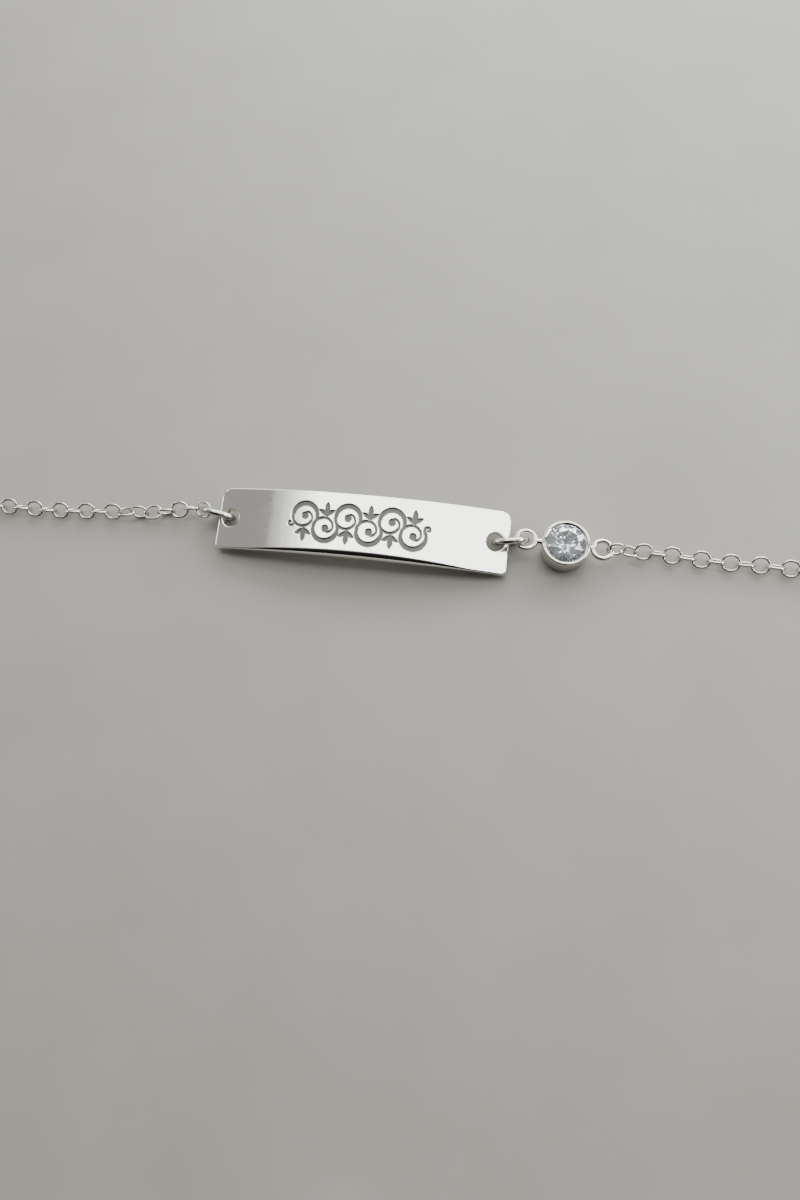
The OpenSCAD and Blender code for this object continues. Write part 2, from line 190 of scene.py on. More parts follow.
def make_room():
    """The dim rest of the room: bright on the far side, dark low down and in part of the near side."""
    world = bpy.data.worlds.new("room")
    world.use_nodes = True
    tree = world.node_tree
    tree.nodes.clear()
    way = add(tree, "ShaderNodeTexCoord").outputs["Generated"]
    parts = add(tree, "ShaderNodeSeparateXYZ", {"Vector": way})
    sides = add(tree, "ShaderNodeMapRange", {
        "Value": parts.outputs["X"], "From Min": SIDES_X[0], "From Max": SIDES_X[1],
        "To Min": ROOM_LEFT, "To Max": ROOM_RIGHT}, interpolation_type="SMOOTHSTEP")
    beyond = add(tree, "ShaderNodeMapRange", {
        "Value": parts.outputs["Y"], "From Min": DARK_Y[0], "From Max": DARK_Y[1]},
        interpolation_type="SMOOTHSTEP")
    from_middle = add(tree, "ShaderNodeMath", {
        0: parts.outputs["X"], 1: DARK_MIDDLE}, operation="SUBTRACT")
    either_way = add(tree, "ShaderNodeMath", {0: from_middle.outputs[0]}, operation="ABSOLUTE")
    aside = add(tree, "ShaderNodeMapRange", {
        "Value": either_way.outputs[0],
        "From Min": DARK_HALF - DARK_BLUR, "From Max": DARK_HALF + DARK_BLUR},
        interpolation_type="SMOOTHSTEP")
    outside = add(tree, "ShaderNodeMath", {
        0: beyond.outputs[0], 1: aside.outputs[0]}, operation="MAXIMUM")
    near = add(tree, "ShaderNodeMapRange", {"Value": outside.outputs[0], "To Min": DARK_SHARE})
    far = add(tree, "ShaderNodeMapRange", {
        "Value": parts.outputs["Y"], "From Min": FAR_Y[0], "From Max": FAR_Y[1],
        "To Min": 1.0, "To Max": FAR_MORE}, interpolation_type="SMOOTHSTEP")
    low = add(tree, "ShaderNodeMapRange", {
        "Value": parts.outputs["Z"], "From Min": LOW_Z[0], "From Max": LOW_Z[1],
        "To Min": LOW_SHARE, "To Max": 1.0}, interpolation_type="SMOOTHSTEP")
    strength = sides
    for share in (near, far, low):
        strength = add(tree, "ShaderNodeMath", {
            0: strength.outputs[0], 1: share.outputs[0]}, operation="MULTIPLY")
    light = add(tree, "ShaderNodeBackground", {
        "Color": linear(ROOM_COLOUR), "Strength": strength.outputs[0]})
    add(tree, "ShaderNodeOutputWorld", {"Surface": light.outputs[0]})
    bpy.context.scene.world = world


def painted_board():
    """Eggshell-painted board: pale and matt, with a cloudy tone and the fine grain of a roller.

    The real grain is finer. It is drawn 0.9 mm apart, so that it just shows.
    """
    material, tree = new_material("eggshell_painted_board")
    place = add(tree, "ShaderNodeTexCoord").outputs["Object"]
    cloud = add(tree, "ShaderNodeTexNoise", {"Vector": place, "Scale": 1 / (9 * MM), "Detail": 3.0})
    grain = add(tree, "ShaderNodeTexNoise", {"Vector": place, "Scale": 1 / (0.9 * MM), "Detail": 4.0})
    tone = add(tree, "ShaderNodeMapRange", {
        "Value": cloud.outputs[0], "From Min": NOISE_LOW, "From Max": NOISE_HIGH})
    colour = add(tree, "ShaderNodeMix", {
        FACTOR: tone.outputs[0], COLOUR_A: linear("#878581"), COLOUR_B: linear("#8C8A86")},
        data_type="RGBA")
    bump = add(tree, "ShaderNodeBump", {
        "Height": grain.outputs[0], "Strength": 0.3, "Distance": 0.03 * MM})
    shader = add(tree, "ShaderNodeBsdfPrincipled", {
        "Base Color": colour.outputs[MIXED], "Roughness": 0.6, "Normal": bump.outputs[0]})
    add(tree, "ShaderNodeOutputMaterial", {"Surface": shader.outputs[0]})
    return material


def make_surface():
    """The board that the bracelet lies on, at the height of its lowest point."""
    half = SURFACE_HALF * MM
    low = cad_box[0].z
    mesh = bpy.data.meshes.new("surface")
    mesh.from_pydata([(-half, -half, low), (half, -half, low), (half, half, low), (-half, half, low)],
                     [], [(0, 1, 2, 3)])
    mesh.materials.append(painted_board())
    surface = bpy.data.objects.new("surface", mesh)
    bpy.context.scene.collection.objects.link(surface)


# Finishes of the bracelet

SILVER = "#F4F2EE"
HAZE_MORE = 1.8         # how much rougher tumbled silver is where it is hazy


def polished_plate_silver():
    """Sterling silver polished on a wheel: a mirror with a slight swell and faint wipe marks.

    The engraver's cut stays as it was burned in, matt and grey. Its steep walls are drawn near black,
    which is painted shade.
    """
    material, tree = new_material("polished_sterling_silver_with_engraving")
    place = add(tree, "ShaderNodeTexCoord").outputs["Object"]
    cut = add(tree, "ShaderNodeAttribute", attribute_name="cut").outputs["Fac"]
    wall = add(tree, "ShaderNodeAttribute", attribute_name="cut_wall_painted_shade").outputs["Fac"]
    swell = add(tree, "ShaderNodeTexNoise", {"Vector": place, "Scale": 1 / (3.2 * MM), "Detail": 1.0})
    swelling = add(tree, "ShaderNodeBump", {
        "Height": swell.outputs[0], "Strength": 1.0, "Distance": 0.016 * MM})
    # the wipe marks run along the plate, about eight times as long as they are wide
    long_marks = add(tree, "ShaderNodeMapping", {"Vector": place, "Scale": (0.12, 1.0, 1.0)})
    marks = add(tree, "ShaderNodeTexNoise", {
        "Vector": long_marks.outputs[0], "Scale": 1 / (0.16 * MM), "Detail": 2.0})
    grit = add(tree, "ShaderNodeTexNoise", {"Vector": place, "Scale": 1 / (0.07 * MM), "Detail": 2.0})
    gloss = add(tree, "ShaderNodeMapRange", {
        "Value": marks.outputs[0], "From Min": NOISE_LOW, "From Max": NOISE_HIGH,
        "To Min": 0.07, "To Max": 0.13})
    roughness = add(tree, "ShaderNodeMapRange", {
        "Value": cut, "To Min": gloss.outputs[0], "To Max": 0.55})
    burned = add(tree, "ShaderNodeMix", {
        FACTOR: grit.outputs[0], COLOUR_A: linear("#5A5957"), COLOUR_B: linear("#7C7B78")},
        data_type="RGBA")
    # painted shade: the cut's steep walls are drawn near black over the burned grey
    cut_with_painted_shade = add(tree, "ShaderNodeMix", {
        FACTOR: wall, COLOUR_A: burned.outputs[MIXED], COLOUR_B: linear("#2C2B2A")}, data_type="RGBA")
    colour = add(tree, "ShaderNodeMix", {
        FACTOR: cut, COLOUR_A: linear(SILVER), COLOUR_B: cut_with_painted_shade.outputs[MIXED]}, data_type="RGBA")
    grit_depth = add(tree, "ShaderNodeMath", {0: grit.outputs[0], 1: cut}, operation="MULTIPLY")
    bump = add(tree, "ShaderNodeBump", {
        "Height": grit_depth.outputs[0], "Strength": 0.5, "Distance": 0.01 * MM,
        "Normal": swelling.outputs[0]})
    shader = add(tree, "ShaderNodeBsdfPrincipled", {
        "Base Color": colour.outputs[MIXED], "Metallic": 1.0, "Roughness": roughness.outputs[0],
        "Normal": bump.outputs[0]})
    add(tree, "ShaderNodeOutputMaterial", {"Surface": shader.outputs[0]})
    return material


def tumbled_silver(name, tint, gloss, mark_mm):
    """Sterling silver brightened in a tumbler: glossy, with small soft dents instead of flat polish.

    The dents are mark_mm apart. Small wire has a duller tint than silver's own, because the wire in the
    photograph mirrors more of a dark room than this one gives.
    """
    material, tree = new_material(name)
    place = add(tree, "ShaderNodeTexCoord").outputs["Object"]
    dents = add(tree, "ShaderNodeTexNoise", {"Vector": place, "Scale": 1 / (mark_mm * MM), "Detail": 2.0})
    haze = add(tree, "ShaderNodeTexNoise", {"Vector": place, "Scale": 1 / (0.5 * MM), "Detail": 3.0})
    roughness = add(tree, "ShaderNodeMapRange", {
        "Value": haze.outputs[0], "From Min": NOISE_LOW, "From Max": NOISE_HIGH,
        "To Min": gloss, "To Max": gloss * HAZE_MORE})
    bump = add(tree, "ShaderNodeBump", {
        "Height": dents.outputs[0], "Strength": 0.6, "Distance": 0.004 * MM})
    shader = add(tree, "ShaderNodeBsdfPrincipled", {
        "Base Color": linear(tint), "Metallic": 1.0, "Roughness": roughness.outputs[0],
        "Normal": bump.outputs[0]})
    add(tree, "ShaderNodeOutputMaterial", {"Surface": shader.outputs[0]})
    return material


def cut_zirconia():
    """Cubic zirconia, machine polished: flat clear facets with a strong sparkle and a cold tinge."""
    material, tree = new_material("clear_cubic_zirconia")
    shader = add(tree, "ShaderNodeBsdfPrincipled", {
        "Base Color": linear("#ECF5FF"), "Roughness": 0.0, "IOR": 2.16, "Transmission Weight": 0.93})
    add(tree, "ShaderNodeOutputMaterial", {"Surface": shader.outputs[0]})
    return material


# Meshes

def make_piece(name, points, faces, material, slot, nodes, normals=None, flat=False):
    """A piece of the bracelet from points in millimetres, shown in place of the CAD nodes."""
    mesh = bpy.data.meshes.new(name)
    mesh.from_pydata((np.asarray(points) * MM).tolist(), [], faces)
    mesh.materials.append(material)
    if not flat:
        mesh.shade_smooth()
    if normals is not None:
        mesh.normals_split_custom_set_from_vertices(normals.tolist())
    piece = bpy.data.objects.new(name, mesh)
    bpy.context.scene.collection.objects.link(piece)
    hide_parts(*nodes)
    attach(piece, "root")
    return piece


def node_box(name):
    """A CAD node's lowest and highest corners in millimetres."""
    return [np.array(corner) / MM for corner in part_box(name)]


def laid_in(name, points):
    """Points moved so that their box has the same middle as a CAD node's box."""
    low, high = node_box(name)
    return points + ((low + high) / 2 - (points.min(0) + points.max(0)) / 2)


def joined(parts):
    """Several (points, faces) as one."""
    points, faces, start = [], [], 0
    for some, more in parts:
        points.append(some)
        faces += [tuple(start + i for i in face) for face in more]
        start += len(some)
    return np.concatenate(points), faces


def grid_faces(rows, columns, rows_close, columns_close):
    """Quads of a grid of points, counted along its columns first."""
    faces = []
    for i in range(rows if rows_close else rows - 1):
        for j in range(columns if columns_close else columns - 1):
            a, b = i * columns, (i + 1) % rows * columns
            k = (j + 1) % columns
            faces.append((a + j, b + j, b + k, a + k))
    return faces


def turned_by(axis, degrees):
    """Rows are where the x, y and z axes go in a turn about one of them."""
    c, s = math.cos(math.radians(degrees)), math.sin(math.radians(degrees))
    return {"x": np.array([[1, 0, 0], [0, c, s], [0, -s, c]]),
            "y": np.array([[c, 0, -s], [0, 1, 0], [s, 0, c]]),
            "z": np.array([[c, s, 0], [-s, c, 0], [0, 0, 1]])}[axis]


def node_points(name):
    """The different points of a CAD node's mesh in millimetres, and its edges between them."""
    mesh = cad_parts[name].data
    raw = np.empty(len(mesh.vertices) * 3, np.float32)
    mesh.vertices.foreach_get("co", raw)
    pairs = np.empty(len(mesh.edges) * 2, np.int32)
    mesh.edges.foreach_get("vertices", pairs)
    points, same = np.unique(raw.reshape(-1, 3), axis=0, return_inverse=True)
    return points.astype(float) / MM, same.ravel()[pairs].reshape(-1, 2)


def lie_of(points):
    """Centre and axes of a ring or link: its long way, its width, and the way through it."""
    centre = points.mean(0)
    ways = np.linalg.svd(points - centre, full_matrices=False)[2]
    along = ways[0] if ways[0][0] > 0 else -ways[0]
    through = ways[2] if ways[2][2] > 0 else -ways[2]
    return centre, np.array([along, np.cross(through, along), through])


def bent_wire(centres, outward, radii, sides):
    """Round wire along a closed flat path in the xy plane, with the way outward at each point."""
    around = np.arange(sides) * 2 * math.pi / sides
    upward = np.array([0.0, 0.0, 1.0])
    rows = [c + r * (np.cos(around)[:, None] * o + np.sin(around)[:, None] * upward)
            for c, o, r in zip(centres, outward, radii)]
    return np.concatenate(rows), grid_faces(len(centres), sides, True, True)


# Jump rings and the ring of the clasp: wire closed with a soldered joint that shows as a faint line

RING_WIRE, CLASP_RING_WIRE = 0.5, 0.4
SEAM_DEPTH = 0.03       # share of the wire's radius
SEAM_WIDTH = 2.5        # degrees along the ring


def soldered_ring(middle_r, wire, seam_at, steps=144, sides=28):
    """A ring that lies flat round the origin, with its joint at an angle in degrees."""
    angles = np.arange(steps) * 2 * math.pi / steps
    outward = np.stack([np.cos(angles), np.sin(angles), np.zeros(steps)], 1)
    off = (np.degrees(angles) - seam_at + 180) % 360 - 180
    radii = wire / 2 * (1 - SEAM_DEPTH * np.exp(-(off / SEAM_WIDTH) ** 2))
    return bent_wire(outward * middle_r, outward, radii, sides)


def make_ring(name, node, wire, seam_at, material, slot):
    """A ring with the place, lie and outer radius of its node."""
    points, _ = node_points(node)
    centre, axes = lie_of(points)
    outer_r = np.linalg.norm(points - centre, axis=1).max()
    ring, faces = soldered_ring(outer_r - wire / 2, wire, seam_at)
    make_piece(name, ring @ axes + centre, faces, material, slot, [node])


# Chain: oval links of drawn wire, each with a rough little bead of solder at one end

LINK_WIRE = 0.2
LINK_W = 1.33
LEFT_LINK_L, RIGHT_LINK_L = 1.51, 1.45
BEAD_MORE = 0.1         # share by which the solder thickens the wire
BEAD_REACH = 0.16       # how far from the end of the link it does


def drawn_link(length, arc_steps=18, side_steps=2, sides=12):
    """A link that lies flat round the origin, long in x, with its solder at the right end."""
    r = (LINK_W - LINK_WIRE) / 2
    half = (length - LINK_W) / 2
    centres, outward = [], []
    for end in (1, -1):
        for a in np.linspace(-90, 90, arc_steps + 1):
            way = end * np.array([math.cos(math.radians(a)), math.sin(math.radians(a)), 0.0])
            centres.append(np.array([end * half, 0.0, 0.0]) + r * way)
            outward.append(way)
        for k in range(1, side_steps):
            centres.append(np.array([end * half * (1 - 2 * k / side_steps), end * r, 0.0]))
            outward.append(np.array([0.0, float(end), 0.0]))
    centres, outward = np.array(centres), np.array(outward)
    from_joint = np.linalg.norm(centres - [half + r, 0, 0], axis=1)
    radii = LINK_WIRE / 2 * (1 + BEAD_MORE * np.exp(-(from_joint / BEAD_REACH) ** 2))
    return bent_wire(centres, outward, radii, sides)


def links_of(node):
    """The points of each loose link of a chain, found by walking its mesh's edges."""
    points, edges = node_points(node)
    label = np.arange(len(points))
    a, b = edges[:, 0], edges[:, 1]
    while True:
        before = label.copy()
        low = np.minimum(label[a], label[b])
        np.minimum.at(label, a, low)
        np.minimum.at(label, b, low)
        label = label[label]
        if (label == before).all():
            break
    return [points[label == k] for k in np.unique(label)]


def make_chain(name, node, length, material, slot):
    """A strand of chain: the same link again for each link of its node."""
    link, faces = drawn_link(length)
    placed = []
    for points in links_of(node):
        centre, axes = lie_of(points)
        placed.append((link @ axes + centre, faces))
    make_piece(name, *joined(placed), material, slot, [node])


# Name plate, in its own frame: x along it, y across it, z = 0 at the ends of its top

PLATE_L, PLATE_W = 22.2, 4.8
PLATE_RISE = 1.3
MID_T, END_T = 1.2, 0.6
FAR_CORNER, NEAR_CORNER = 0.75, 0.4
HOLE_R = 0.7
HOLE_WEB = 0.28
PLATE_TILT, PLATE_FALL = 11.0, 0.3
TOP_RIM, UNDER_RIM, HOLE_RIM = 0.12, 0.1, 0.07
NEAR_RIM_MORE = 0.36    # the near edge is polished rounder in the middle, by this much
NEAR_RIM_REACH = 8.4    # up to this far from the middle
TOP_ARC, UNDER_ARC, HOLE_ARC = 9, 5, 4      # points on the arcs of the rims
# Spacing of the points of a plain face, and how far they keep from its edges
TOP_STEP, TOP_MARGIN = 0.3, 0.45
UNDER_STEP, UNDER_MARGIN = 0.45, 0.3
MERGE = 1e-7            # points of a face that are closer than this would be one

TOP_R = (PLATE_L ** 2 / 4 + PLATE_RISE ** 2) / (2 * PLATE_RISE)
UNDER_RISE = PLATE_RISE - MID_T + END_T
UNDER_R = (PLATE_L ** 2 / 4 + UNDER_RISE ** 2) / (2 * UNDER_RISE)
TOP_CENTRE = PLATE_RISE - TOP_R
UNDER_CENTRE = UNDER_RISE - END_T - UNDER_R
HOLE_X = PLATE_L / 2 - HOLE_WEB - HOLE_R

# Engraving
CUT_DEPTH = 0.08
CUT_SLOPE = 0.06        # width of the cut's wall
CUT_GRID = 0.032        # spacing of the mesh where it is engraved
BOWS = 6
BOW_STEP = 1.65
BOW_OFFSET = 0.45
BOW_R = math.hypot(BOW_STEP, 2 * BOW_OFFSET) / 2
BOW_END = math.degrees(math.atan2(2 * BOW_OFFSET, BOW_STEP))
ENGRAVED_X, ENGRAVED_Y = 5.7, 1.72
NOT_NEAR = 9.0          # stands for the distance to the strokes where none is near
STROKE_POINTS = 90
STEM, STEM_MORE = 0.1, 0.09             # half the stem's width, and how much more it has on a bow
TENDRIL_TURN, TENDRIL_R = 215, 0.3      # how far a tendril winds in degrees, and its last radius
TENDRIL_LESS = 0.035                    # how much it loses of half its width
BERRY_R = 0.27
# Lean in degrees, length and half the width of each lobe of a leaf
LEAF_LOBES = ((0, 1.12, 0.17), (-34, 0.8, 0.12), (34, 0.8, 0.12))
LEAF_TIP = 0.03         # half the width of a lobe's ends
LEAF_FOOT = 0.92        # where a leaf stands, as a share of the bow's radius
CURL_R, CURL_LESS = 0.27, 0.7           # first radius of the vine's ends, and the share that it loses
CURL_TURN = 320
CURL_THINS = 0.03


def top_z(x):
    return TOP_CENTRE + np.sqrt(TOP_R ** 2 - x ** 2)


def under_z(x):
    return UNDER_CENTRE + np.sqrt(UNDER_R ** 2 - x ** 2)


def vine_strokes():
    """The strokes of a running vine: rows of x, y and half the width of the cut."""
    strokes = []

    def stroke(xs, ys, widths):
        strokes.append(np.stack([xs, ys, np.broadcast_to(widths, np.shape(xs))], 1))

    u = np.linspace(0, 1, STROKE_POINTS)
    for i in range(BOWS):
        side = 1 if i % 2 == 0 else -1
        cx, cy = (i - (BOWS - 1) / 2) * BOW_STEP, BOW_OFFSET
        # the stem swings over the bow, thickest at its crown
        a = np.radians(-BOW_END + u * (180 + 2 * BOW_END))
        stroke(cx + BOW_R * np.cos(a), side * (cy + BOW_R * np.sin(a)),
               STEM + STEM_MORE * np.sin(math.pi * u))
        # a tendril leaves it at the left and winds in to a berry
        a = np.radians(180 + BOW_END + u * TENDRIL_TURN)
        r = BOW_R + (TENDRIL_R - BOW_R) * u ** 1.25
        stroke(cx + r * np.cos(a), side * (cy + r * np.sin(a)), STEM - TENDRIL_LESS * u)
        stroke(np.array([cx]), np.array([side * cy]), BERRY_R)
        # a three-lobed leaf stands in the gap behind the bow
        for lean, reach, width in LEAF_LOBES:
            t = u * reach
            bend = math.radians(lean) * (0.6 + 0.8 * u)
            stroke(cx + t * np.sin(bend), side * (BOW_OFFSET - BOW_R * LEAF_FOOT - t * np.cos(bend)),
                   LEAF_TIP + width * np.sin(math.pi * u ** 1.3) ** 1.2)
    # each end of the vine runs on into a curl, which winds the other way
    heading = math.radians(90 + BOW_END) - np.radians(CURL_TURN) * u
    step = CURL_R * (1 - CURL_LESS * u) * math.radians(CURL_TURN) / (len(u) - 1)
    x = BOWS / 2 * BOW_STEP + np.cumsum(step * np.cos(heading))
    y = np.cumsum(step * np.sin(heading))
    for end in (1, -1):
        stroke(end * x, end * y, STEM - CURL_THINS * u)
    return strokes


def engraved_grid():
    """A fine grid over the engraving: x, y, and how much of the cut's depth is taken at each point."""
    xs = np.linspace(-ENGRAVED_X, ENGRAVED_X, round(2 * ENGRAVED_X / CUT_GRID) + 1)
    ys = np.linspace(-ENGRAVED_Y, ENGRAVED_Y, round(2 * ENGRAVED_Y / CUT_GRID) + 1)
    outside = np.full((len(xs), len(ys)), NOT_NEAR)
    for stroke in vine_strokes():
        reach = stroke[:, 2].max() + 3 * CUT_SLOPE
        i = slice(*np.searchsorted(xs, [stroke[:, 0].min() - reach, stroke[:, 0].max() + reach]))
        j = slice(*np.searchsorted(ys, [stroke[:, 1].min() - reach, stroke[:, 1].max() + reach]))
        apart = np.hypot(xs[i, None, None] - stroke[:, 0], ys[None, j, None] - stroke[:, 1])
        outside[i, j] = np.minimum(outside[i, j], (apart - stroke[:, 2]).min(2))
    t = np.clip(0.5 - outside / CUT_SLOPE, 0, 1)
    return xs, ys, t * t * (3 - 2 * t)


def plate_loop(corner_steps=10, long_steps=60, end_steps=8):
    """Points round the plate's edge, and the way out at each."""
    corners = ((1, 1, FAR_CORNER), (-1, 1, FAR_CORNER), (-1, -1, NEAR_CORNER), (1, -1, NEAR_CORNER))
    arcs = []
    for turn, (sx, sy, r) in enumerate(corners):
        a = np.radians(90 * turn + np.linspace(0, 90, corner_steps + 1))
        way = np.stack([np.cos(a), np.sin(a)], 1)
        arcs.append((np.array([sx * (PLATE_L / 2 - r), sy * (PLATE_W / 2 - r)]) + r * way, way))
    points, ways = [], []
    for turn, (place, way) in enumerate(arcs):
        steps = long_steps if turn % 2 == 0 else end_steps
        after = arcs[(turn + 1) % 4][0][0]
        t = np.linspace(0, 1, steps + 1)[1:-1, None]
        points += [place, place[-1] + (after - place[-1]) * t]
        ways += [way, np.repeat(way[-1:], steps - 1, 0)]
    return np.concatenate(points), np.concatenate(ways)


def depth_to_under(a):
    """How far down the plate's underside is, square to its top, at an angle along its arc."""
    depth = np.full_like(a, END_T)
    for _ in range(8):      # each round brings it closer
        x, z = (TOP_R - depth) * np.sin(a), TOP_CENTRE + (TOP_R - depth) * np.cos(a)
        depth = depth + (z - under_z(x)) * np.cos(a)
    return depth


def rim_rows():
    """Loops from the flat of the top round the edge to the flat of the underside, with their normals."""
    edge, out = plate_loop()
    outward = np.column_stack([out, np.zeros(len(out))])
    middle = np.clip(1 - (edge[:, 0] / NEAR_RIM_REACH) ** 2, 0, 1)
    near_side = out[:, 1] < -0.99
    rim = TOP_RIM + NEAR_RIM_MORE * middle * near_side
    rows = []
    for a in np.radians(np.linspace(0, 90, TOP_ARC)):
        flat = edge - (rim * (1 - math.sin(a)))[:, None] * out
        z = top_z(flat[:, 0]) - rim * (1 - math.cos(a))
        up = np.stack([flat[:, 0] / TOP_R, np.zeros(len(flat)),
                       (top_z(flat[:, 0]) - TOP_CENTRE) / TOP_R], 1)
        rows.append((np.column_stack([flat, z]), math.cos(a) * up + math.sin(a) * outward))
    for a in np.radians(np.linspace(0, 90, UNDER_ARC)):
        flat = edge - UNDER_RIM * (1 - math.cos(a)) * out
        z = under_z(flat[:, 0]) + UNDER_RIM * (1 - math.sin(a))
        rows.append((np.column_stack([flat, z]),
                     math.cos(a) * outward - math.sin(a) * np.array([0, 0, 1.0])))
    return rows


def hole_rows(side, steps=48):
    """Loops down a hole, which is drilled square to the plate's top, with their normals."""
    around = -np.arange(steps) * 2 * math.pi / steps
    middle = math.asin(side * HOLE_X / TOP_R)
    rows = []
    for below in (False, True):
        for a in np.radians(np.linspace(0, 90, HOLE_ARC)):
            if below:
                r, down = HOLE_R + HOLE_RIM * (1 - math.cos(a)), HOLE_RIM * (1 - math.sin(a))
            else:
                r, down = HOLE_R + HOLE_RIM * (1 - math.sin(a)), HOLE_RIM * (1 - math.cos(a))
            arc = middle + r * np.cos(around) / TOP_R
            depth = depth_to_under(arc) - down if below else np.full(steps, down)
            up = np.stack([np.sin(arc), 0 * arc, np.cos(arc)], 1)
            inward = -np.stack([np.cos(around) * np.cos(arc), np.sin(around),
                                -np.cos(around) * np.sin(arc)], 1)
            place = up * (TOP_R - depth)[:, None] + [0, 0, TOP_CENTRE]
            place[:, 1] = r * np.sin(around)
            flat = -math.sin(a) * up if below else math.cos(a) * up
            rows.append((place, flat + (math.cos(a) if below else math.sin(a)) * inward))
    return rows


def face_of_plate(loops, inside):
    """Triangles between the loops of a face and the points inside it, seen from above."""
    flat = [Vector(p[:2]) for loop in loops for p in loop] + [Vector(p) for p in inside]
    edges, start = [], 0
    for loop in loops:
        n = len(loop)
        edges += [(start + k, start + (k + 1) % n) for k in range(n)]
        start += n
    points, _, faces = delaunay_2d_cdt(flat, edges, [], 1, MERGE)[:3]
    assert len(points) == len(flat)
    # a face whose corners all lie on one hole's loop is inside the hole, and is left out
    loop_of = [n for n, loop in enumerate(loops) for _ in loop] + [0] * len(inside)
    return [tuple(face) for face in faces
            if loop_of[face[0]] == 0 or len({loop_of[i] for i in face}) > 1]


def spread_points(step, margin, without_engraving):
    """An even spread of points inside the plate's outline, clear of its edge and holes."""
    xs = np.arange(-PLATE_L / 2, PLATE_L / 2, step) + step / 2
    ys = np.arange(-PLATE_W / 2, PLATE_W / 2, step) + step / 2
    gx, gy = [g.ravel() for g in np.meshgrid(xs, ys, indexing="ij")]
    keep = (abs(gx) < PLATE_L / 2 - margin) & (abs(gy) < PLATE_W / 2 - margin)
    keep &= np.hypot(abs(gx) - HOLE_X, gy) > HOLE_R + HOLE_RIM + margin / 2
    keep &= np.hypot(np.maximum(0, abs(gx) - PLATE_L / 2 + FAR_CORNER),
                     np.maximum(0, abs(gy) - PLATE_W / 2 + FAR_CORNER)) < FAR_CORNER - margin * 0.7
    if without_engraving:
        keep &= (abs(gx) > ENGRAVED_X + step / 3) | (abs(gy) > ENGRAVED_Y + step / 3)
    return np.stack([gx[keep], gy[keep]], 1)


def make_plate(material):
    """The rims first, then the engraved top and the plain underside, laid as the CAD plate lies."""
    rim, holes = rim_rows(), [hole_rows(side) for side in (-1, 1)]
    parts, normals = [], []
    for rows in (rim, *holes):
        grid = grid_faces(len(rows), len(rows[0][0]), False, True)
        parts.append((np.concatenate([r[0] for r in rows]), grid))
        normals.append(np.concatenate([r[1] for r in rows]))

    # top, with the engraved grid in its middle
    xs, ys, cut = engraved_grid()
    slope_x, slope_y = np.gradient(-CUT_DEPTH * cut, xs, ys)
    gx, gy = np.meshgrid(xs, ys, indexing="ij")
    coarse = spread_points(TOP_STEP, TOP_MARGIN, True)
    loops = [rows[0][0] for rows in (rim, *holes)]
    inside = np.concatenate([np.stack([gx.ravel(), gy.ravel()], 1), coarse])
    on_loops = sum(len(loop) for loop in loops)
    depth = np.concatenate([np.zeros(on_loops), CUT_DEPTH * cut.ravel(), np.zeros(len(coarse))])
    flat = np.concatenate([*[loop[:, :2] for loop in loops], inside])
    z = np.concatenate([*[loop[:, 2] for loop in loops], top_z(inside[:, 0])]) - depth
    tops = np.column_stack([flat, z])
    lean = np.zeros((len(flat), 2))
    lean[:, 0] = -flat[:, 0] / np.sqrt(TOP_R ** 2 - flat[:, 0] ** 2)
    engraved = slice(on_loops, on_loops + cut.size)
    lean[engraved] += np.stack([slope_x.ravel(), slope_y.ravel()], 1)
    parts.append((tops, face_of_plate(loops, inside)))
    normals.append(np.column_stack([-lean, np.ones(len(flat))]))

    # underside, which is plain
    loops = [rows[-1][0] for rows in (rim, *holes)]
    inside = spread_points(UNDER_STEP, UNDER_MARGIN, False)
    flat = np.concatenate([*[loop[:, :2] for loop in loops], inside])
    z = np.concatenate([*[loop[:, 2] for loop in loops], under_z(inside[:, 0])])
    parts.append((np.column_stack([flat, z]), [face[::-1] for face in face_of_plate(loops, inside)]))
    normals.append(np.column_stack([flat[:, 0] * -1 / UNDER_R, 0 * z, -np.ones(len(flat))]))

    points, faces = joined(parts)
    normals = np.concatenate(normals)
    normals /= np.linalg.norm(normals, axis=1)[:, None]
    before = sum(len(p) for p, _ in parts[:3]) + on_loops
    mask = np.zeros(len(points), np.float32)
    mask[before:before + cut.size] = cut.ravel()

    turn = turned_by("x", PLATE_TILT) @ turned_by("y", PLATE_FALL)
    low, high = node_box("name_plate")
    middle_x = (low[0] + high[0]) / 2
    tilt = math.radians(PLATE_TILT)
    at_y = low[1] + PLATE_W / 2 * math.cos(tilt) + PLATE_RISE * math.sin(tilt)
    placed = points @ turn
    placed += [middle_x - (placed[:, 0].max() + placed[:, 0].min()) / 2, at_y, 0]
    placed[:, 2] += high[2] - placed[:, 2].max()
    plate = make_piece("name_plate_polished", placed, faces, material, "plate_silver", ["name_plate"],
                       normals @ turn)
    # the second mask is painted shade, darkest half way down the walls of the cut
    for name, values in (("cut", mask), ("cut_wall_painted_shade", 4 * mask * (1 - mask))):
        layer = plate.data.attributes.new(name, "FLOAT", "POINT")
        layer.data.foreach_set("value", values.astype(np.float32))


# Cup setting, in its own frame: its foot at z = 0

STONE_D = 3.0
CUP_WALL, STONE_GAP = 0.22, 0.03
CUP_H, CUP_TAPER = 1.75, 0.25
CUP_LEAN, CUP_NOD, CUP_TURN = 5.0, 3.0, -0.3
LIP, RIM_H = 0.08, 0.1
BEVEL_IN, BEVEL_FALL = 0.05, 0.085      # how far outside the stone the lip's bevel starts, and its fall
SEAT_DEPTH = 0.72       # from the seat down to the foot's hole
GIRDLE = 0.03
LOOP_D, LOOP_WIRE = 1.74, 0.36
LEFT_NECK, RIGHT_NECK, LOOP_DROP = 0.26, 0.04, 0.45
NECK_R = 0.24
NECK_IN_CUP, NECK_IN_LOOP = 0.14, 0.05  # how far a neck runs into what it joins
NECK_WAIST = 0.14       # share by which it is slimmer half way
NECK_FLARE = 0.08       # how much the solder adds at the cup
NECK_FLAT = 0.85        # its height as a share of its width
